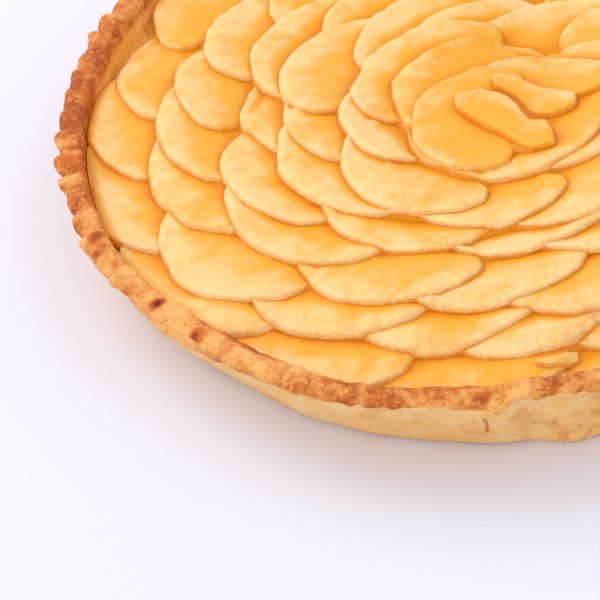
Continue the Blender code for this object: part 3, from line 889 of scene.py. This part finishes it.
def crags(points, share, angle):
    """How far the case's skin stands out of its smooth form, where it is the rim's, and where it is darker:
    in the crack, and with painted shade along the creases.
    """
    lip = lip_share(points, share, angle)
    lumps = relief(points, LUMPS)
    lumps += bump(angle, KNOB_CRUMBS) * unevenness(points, KNOB_CRUMB_PITCH, 16)
    grains = relief(points, GRAINS) * (1 - GRAINS_LOST * smooth_step(share, *INNER_WALL))
    folds, split = wall_folds(points, angle)
    shift = lip * (lumps + grains) + (1 - lip) * (folds - LIP_STEP * (share < OUTSIDE_END))
    return shift * smooth_step(points[:, 2], 0.0, FOOT_SMOOTH), lip, split


def burnt_share(points, share, angle):
    """How burnt the skin is: spots on the rim, and dark stretches of its inner edge."""
    ragged = relief(points, BURNT_RAGGED)
    off_edge = (share - DARK_EDGE_PLACE + DARK_EDGE_RAGGED * ragged) / DARK_EDGE_WIDTH
    dark = bumps(angle, DARK_EDGES) * np.exp(-off_edge ** 2)
    burnt = dark * np.clip(0.8 + 0.7 * unevenness(points, 0.0060, 43), 0, 1.2)
    for direction, away, size, strength in BURNT_SPOTS:
        turn = math.radians(direction)
        off = np.hypot(points[:, 0] - away * math.cos(turn), points[:, 1] - away * math.sin(turn))
        spot = 1 - smooth_step(off / size + SPOT_RAGGED * ragged, 0.1, 1.2)
        burnt = np.maximum(burnt, strength * spot * (share > SPOTS_START))
    return burnt


def build_case(collection):
    """The case's skin from the foot over the rim to the bed, with its crags, on a closed body."""
    draw = random.Random(SEED)
    slow, quick = ([(k, draw.uniform(0, 2 * math.pi)) for k in waves] for waves in (SLOW_WAVES, QUICK_WAVES))
    strength = np.array([draw.uniform(*PINCH_STRENGTH) for _ in range(PINCHES)])
    angle = np.arange(CASE_DIRECTIONS) * 360 / CASE_DIRECTIONS
    rows = case_profile(angle, strength, slow, quick)
    last = len(rows) - 1
    at = np.concatenate((np.linspace(0, LIP_ROW, WALL_STEPS, endpoint=False),
                         np.linspace(LIP_ROW, last, RIM_STEPS)))
    profile = spline(rows, at)
    radius, height = profile[:, 0], np.maximum(profile[:, 1], 0)
    height[0] = 0
    turn = np.radians(angle)
    corners = np.stack((radius * np.cos(turn), radius * np.sin(turn), height), axis=-1)
    around_it = np.roll(corners, -1, axis=1) - np.roll(corners, 1, axis=1)
    normal = np.cross(around_it, np.gradient(corners, axis=0))
    normal /= np.linalg.norm(normal, axis=2)[:, :, None] + 1e-12
    points, normal = corners.reshape(-1, 3), normal.reshape(-1, 3)
    share, around = np.repeat(at / last, CASE_DIRECTIONS), np.tile(angle, len(at))
    shift, lip, split = crags(points, share, around)
    points = points + normal * shift[:, None]
    index = np.arange(len(points)).reshape(len(at), CASE_DIRECTIONS)
    after = np.roll(index, -1, axis=1)
    faces = np.stack((index[:-1], after[:-1], after[1:], index[1:]), axis=-1).reshape(-1, 4).tolist()
    bed_middle, foot_middle = len(points), len(points) + 1
    faces += [(int(a), int(b), bed_middle) for a, b in zip(index[-1], after[-1])]
    faces += [(int(b), int(a), foot_middle) for a, b in zip(index[0], after[0])]
    mesh = new_mesh("case", np.vstack((points, (0, 0, BED_MIDDLE_HEIGHT), (0, 0, 0))), faces)
    mesh.shade_smooth()
    toasted = USUAL_TOAST + bumps(around, TOASTED_RIM) - PINCH_TOAST * fine_pinch(around, strength)
    direction, width, start = DRIP
    off_drip = around - direction + relief(share, DRIP_WANDER)
    drip = np.exp(-(off_drip / width) ** 4) * smooth_step(share, *start)
    store_look(mesh, "look", share, lip, burnt_share(points, share, around))
    # The last share is darker in the crack, with painted shade along the creases.
    store_look(mesh, "baking_and_shade", toasted, drip, split)
    return add_object("case", mesh, collection)


# Glaze.
def build_glaze(collection, field):
    """A film with a thin fillet at the foot of every step and pools in the pits between the slices."""
    fillet = blurred(field.top, FILLET_SPREAD / FINE_CELL)
    pool = blurred(field.top, POOL_SPREAD / FINE_CELL)
    side = round(2 * GLAZE_REACH / GLAZE_CELL) + 1
    line = np.linspace(-GLAZE_REACH, GLAZE_REACH, side)
    x, y = (each.ravel() for each in np.meshgrid(line, line, indexing="ij"))
    points = np.column_stack((x, y))
    patches = unevenness(points, GLAZE_PATCH, SEED + 70)
    across, along, reach, lower = GLOSSY
    front = 1 - smooth_step(np.hypot(x - across, y - along), 0, reach)
    shallow = FILLET_DEPTH - FILLET_UNEVENNESS * patches - lower * front
    deep = POOL_DEPTH - GLAZE_UNEVENNESS * patches
    for across, along, reach, rise in POOLS:
        deep -= rise * np.exp(-(np.hypot(x - across, y - along) / reach) ** 2)
    level = np.maximum(field.read(fillet, points) - shallow, field.read(pool, points) - deep)
    depth = level - field.read(-widened(widened(-field.top)), points)
    inside = np.hypot(x, y) < bed_radius(direction_of(x, y)) + BED_WALL_LEAN
    wet = ((depth > 0) & inside).reshape(side, side)
    quads = grid_quads(np.arange(side ** 2).reshape(side, side))[:, [0, 3, 2, 1]]
    any_wet = (wet[:-1, :-1] | wet[1:, :-1] | wet[1:, 1:] | wet[:-1, 1:]).ravel()
    used, renumbered = np.unique(quads[any_wet], return_inverse=True)
    mesh = new_mesh("glaze", np.column_stack((points, level))[used], renumbered.reshape(-1, 4).tolist())
    mesh.shade_smooth()
    store_look(mesh, "look", *[depth[used] / GLAZE_FULL] * 3)
    return add_object("glaze", mesh, collection)


# Materials.
class Nodes:
    """Makes and links the nodes of one material."""

    def __init__(self, name):
        self.material = bpy.data.materials.new(name)
        self.material.use_nodes = True
        self.tree = self.material.node_tree

    def add(self, kind, **settings):
        node = self.tree.nodes.new(kind)
        for name, value in settings.items():
            setattr(node, name, value)
        return node

    def set(self, socket, value):
        """Links a socket to another one, or sets it to a plain value."""
        if isinstance(value, bpy.types.NodeSocket):
            self.tree.links.new(value, socket)
        else:
            socket.default_value = value

    def node(self, kind, given, **settings):
        """The first output of a new node whose inputs are given by name or number."""
        node = self.add(kind, **settings)
        for name, value in given.items():
            self.set(node.inputs[name], value)
        return node.outputs[0]

    def channels(self, name):
        split = self.add("ShaderNodeSeparateColor")
        self.set(split.inputs[0], self.add("ShaderNodeAttribute", attribute_name=name).outputs["Color"])
        return split.outputs

    def math(self, operation, first, *others):
        for other in others:
            first = self.node("ShaderNodeMath", {0: first, 1: other}, operation=operation)
        return first

    def range(self, value, start, end, low=0.0, high=1.0):
        given = dict(enumerate((value, start, end, low, high)))
        return self.node("ShaderNodeMapRange", given, interpolation_type="SMOOTHSTEP")

    def scaled(self, vector, scale):
        return self.node("ShaderNodeVectorMath", {0: vector, 1: scale}, operation="MULTIPLY")

    def noise(self, vector, scale, detail=2.0, rough=0.5):
        return self.node("ShaderNodeTexNoise",
                         {"Vector": vector, "Scale": scale, "Detail": detail, "Roughness": rough})

    def centred(self, value, scale):
        return self.math("MULTIPLY", self.math("SUBTRACT", value, 0.5), scale)

    def mixed(self, share, one, two):
        node = self.add("ShaderNodeMix", data_type="RGBA")
        for name, value in (("Factor", share), ("A", one), ("B", two)):
            self.set(node.inputs[name], value)
        return node.outputs["Result"]

    def layers(self, base, *over):
        """A colour with others laid over it in turn, each given as its share and its red, green and blue."""
        for share, *tint in over:
            base = self.mixed(share, base, colour(*tint))
        return base

    def bumps(self, *layers):
        """A normal with bumps in layers, each given as its height and how far it stands out."""
        normal = None
        for height, distance in layers:
            given = {"Height": height, "Distance": distance}
            if normal:
                given["Normal"] = normal
            normal = self.node("ShaderNodeBump", given)
        return normal

    def finished(self, settings):
        """The material, with the inputs of its shader set or linked."""
        shader = self.tree.nodes["Principled BSDF"]
        for name, value in settings.items():
            self.set(shader.inputs[name], value)
        return self.material


def colour(r, g, b):
    return (r, g, b, 1.0)


def apple_material():
    n = Nodes("baked apple")
    crevice_glaze_and_shade, arc, shade = n.channels("look")
    tone, toast, _ = n.channels("tone")
    grain = n.add("ShaderNodeAttribute", attribute_name="grain").outputs["Vector"]
    place = n.add("ShaderNodeTexCoord").outputs["Object"]
    fibres = n.noise(n.scaled(grain, (1.0, 0.14, 1.0)), 1100.0)
    streaks = n.noise(n.scaled(grain, (1.0, 0.35, 1.0)), 260.0, 3.0, 0.6)
    mottle = n.noise(place, 75.0, 3.0, 0.6)
    blotches = n.noise(place, 190.0, 3.0, 0.6)
    fine = n.noise(place, 1700.0)
    ripe = n.math("ADD", n.range(arc, 0.05, 0.75, 0.0, 0.6), n.centred(mottle, 1.8), n.centred(blotches, 1.1),
                  n.centred(streaks, 0.55), n.math("MULTIPLY", tone, 0.55))
    # Painted shade, partly glaze colour: amber below the sheets above, deepest at the foot of each step.
    shaded = n.math("ADD", shade, n.centred(mottle, 0.45), n.centred(blotches, 0.20))
    deep = n.math("ADD", crevice_glaze_and_shade, n.centred(mottle, 1.0))
    # Sugar frost along the arcs, with painted glints.
    sugar_and_glints = n.math("MULTIPLY", n.range(arc, 0.0, 0.16, 0.48, 0.0), n.range(fine, 0.45, 0.62),
                   n.range(shade, 0.7, 0.3), n.range(crevice_glaze_and_shade, 0.5, 0.1))
    bare = n.range(shaded, 0.50, 0.10, 0.25, 1.0)
    speckled = n.math("MULTIPLY", toast, n.range(n.noise(place, 420.0, 3.0), 0.40, 0.60, 0.25, 1.0))
    flesh = n.layers(
        colour(0.875, 0.575, 0.235),
        (n.range(ripe, 0.0, 0.9), 0.865, 0.395, 0.036),
        # The next three: painted shade, partly glaze colour, from golden to deep amber.
        (n.range(shaded, 0.04, 0.50, 0.0, 0.9), 0.845, 0.37, 0.021),
        (n.range(shaded, 0.45, 1.00, 0.0, 0.95), 0.78, 0.255, 0.002),
        (n.range(deep, 0.40, 1.20, 0.0, 0.85), 0.72, 0.175, 0.001),
        (sugar_and_glints, 0.97, 0.78, 0.46),
        (n.math("MULTIPLY", n.range(fibres, 0.50, 0.30, 0.0, 0.26), bare), 0.88, 0.38, 0.04),
        (n.math("MULTIPLY", n.range(fibres, 0.52, 0.72, 0.0, 0.15), bare), 0.97, 0.74, 0.38),
        (speckled, 0.74, 0.28, 0.05))
    return n.finished({
        "Base Color": flesh,
        "Roughness": n.range(shade, 0.0, 0.7, 0.42, 0.22),
        "Specular IOR Level": 0.14,
        "Subsurface Weight": 0.10,
        "Subsurface Radius": (1.0, 0.6, 0.2),
        "Subsurface Scale": 0.0010,
        "Normal": n.bumps((fibres, 0.00012), (blotches, 0.00060), (fine, 0.00009))})


def crust_material():
    n = Nodes("baked shortcrust")
    share, lip, burnt = n.channels("look")
    toasted, drip, split = n.channels("baking_and_shade")
    place = n.add("ShaderNodeTexCoord").outputs["Object"]
    broad = n.noise(place, 60.0, 3.0, 0.6)
    patches = n.noise(place, 130.0, 3.0, 0.6)
    lumps = n.noise(place, 360.0, 4.0, 0.65)
    grains = n.noise(place, 1000.0)
    wall = n.layers(
        colour(0.90, 0.60, 0.26),
        (n.range(broad, 0.42, 0.60), 0.89, 0.505, 0.165),
        (n.range(patches, 0.55, 0.68, 0.0, 0.75), 0.85, 0.38, 0.095),
        (n.range(lumps, 0.40, 0.30, 0.0, 0.35), 0.70, 0.40, 0.16),
        # Darker in the crack, and painted shade along the creases.
        (split, 0.55, 0.20, 0.03))
    done = n.math("ADD", n.centred(toasted, 0.42), n.centred(patches, 1.0), n.centred(lumps, 0.75))
    rim = n.layers(
        colour(0.88, 0.43, 0.125),
        (n.range(done, -0.22, 0.02), 0.74, 0.275, 0.055),
        (n.range(done, 0.00, 0.15), 0.58, 0.145, 0.018),
        (n.range(done, 0.14, 0.30), 0.42, 0.075, 0.010),
        (n.range(grains, 0.56, 0.72, 0.0, 0.45), 0.92, 0.54, 0.22),
        (n.range(grains, 0.45, 0.30, 0.0, 0.36), 0.46, 0.10, 0.014))
    inner = n.layers(
        colour(1.0, 0.39, 0.065),
        (n.range(broad, 0.4, 0.6), 1.0, 0.45, 0.11),
        (n.range(share, 0.88, 0.96), 1.0, 0.43, 0.070))
    uneven_lip = n.range(n.math("ADD", lip, n.centred(lumps, 0.8)), 0.15, 0.75)
    skin = n.mixed(n.range(share, 0.825, 0.89), n.mixed(uneven_lip, wall, rim), inner)
    skin = n.layers(
        skin,
        (drip, 0.78, 0.24, 0.002),
        (n.range(burnt, 0.05, 0.45, 0.0, 0.85), 0.60, 0.11, 0.008),
        (n.range(burnt, 0.45, 0.72, 0.0, 0.75), 0.34, 0.040, 0.010),
        (n.range(burnt, 0.75, 0.95, 0.0, 0.95), 0.10, 0.010, 0.003))
    dry = n.range(share, *INNER_WALL, 0.75, 0.30)
    return n.finished({
        "Base Color": skin,
        "Roughness": n.math("SUBTRACT", dry, n.math("MULTIPLY", drip, 0.5)),
        "Specular IOR Level": 0.3,
        "Normal": n.bumps((lumps, 0.0009), (grains, 0.00040))})


def glaze_material():
    n = Nodes("amber glaze")
    depth = n.channels("look")[0]
    return n.finished({
        "Base Color": n.layers(colour(0.95, 0.39, 0.012), (depth, 0.86, 0.265, 0.001)),
        "Alpha": n.range(depth, 0.0, 1.0, 0.0, 0.80),
        "Roughness": 0.16,
        "Specular IOR Level": 0.22})


def floor_material():
    return Nodes("pale floor").finished({"Base Color": colour(0.750, 0.740, 0.825), "Roughness": 0.7})


# Stage.
def build_stage(collection):
    mesh = bpy.data.meshes.new("floor")
    bm = bmesh.new()
    bmesh.ops.create_grid(bm, x_segments=1, y_segments=1, size=FLOOR_HALF)
    bm.to_mesh(mesh)
    bm.free()
    floor = add_object("floor", mesh, collection)
    mesh.materials.append(floor_material())

    world = bpy.data.worlds.new("soft daylight")
    bpy.context.scene.world = world
    world.use_nodes = True
    sky = world.node_tree.nodes["Background"]
    sky.inputs["Color"].default_value = SKY_COLOUR
    sky.inputs["Strength"].default_value = SKY_STRENGTH
    for name, place, size, power in LIGHTS:
        data = bpy.data.lights.new(name, "AREA")
        data.shape = "SQUARE"
        data.size = size
        data.energy = power
        lamp = add_object(name, data, collection)
        lamp.location = place
        lamp.rotation_euler = (Vector((0, 0, 0)) - Vector(place)).to_track_quat("-Z", "Y").to_euler()


def place_camera(collection):
    data = bpy.data.cameras.new("camera")
    data.lens = LENS
    data.sensor_width = SENSOR
    camera = add_object("camera", data, collection)
    turned = Matrix.Rotation(math.pi / 2 - RAISED, 4, "X") @ Matrix.Rotation(ROLLED, 4, "Z")
    camera.matrix_world = turned @ Matrix.Translation((ASIDE, BELOW, DISTANCE))
    bpy.context.scene.camera = camera


def main():
    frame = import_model()
    collection = bpy.data.collections.new("tart looks")
    bpy.context.scene.collection.children.link(collection)
    bpy.context.scene.view_settings.view_transform = "Standard"
    place_camera(collection)
    build_stage(collection)

    field, made = lay_all()
    # Blurred heights for the painted shade on the slices.
    close = blurred(field.top, CREVICE_SPREAD / FINE_CELL)
    wide = blurred(field.top, SHADE_SPREAD / FINE_CELL)
    apple = apple_material()
    names = list(frame["nodes"])
    for slices in made:
        stands_for = [name for name in names
                      if name == slices.name or name.startswith(slices.name.replace("ring_", "slice_") + "_")]
        slices.name += "_slices" if len(stands_for) > 1 or slices.name in FUSED_PIECES else "_fine"
        piece = slices.build(collection, field, close, wide)
        piece.data.materials.append(apple)
        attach(piece, "root")
        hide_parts(*stands_for)

    case = build_case(collection)
    case.data.materials.append(crust_material())
    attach(case, "root")
    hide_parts("crust")

    glaze = build_glaze(collection, field)
    glaze.data.materials.append(glaze_material())
    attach(glaze, "root")


main()
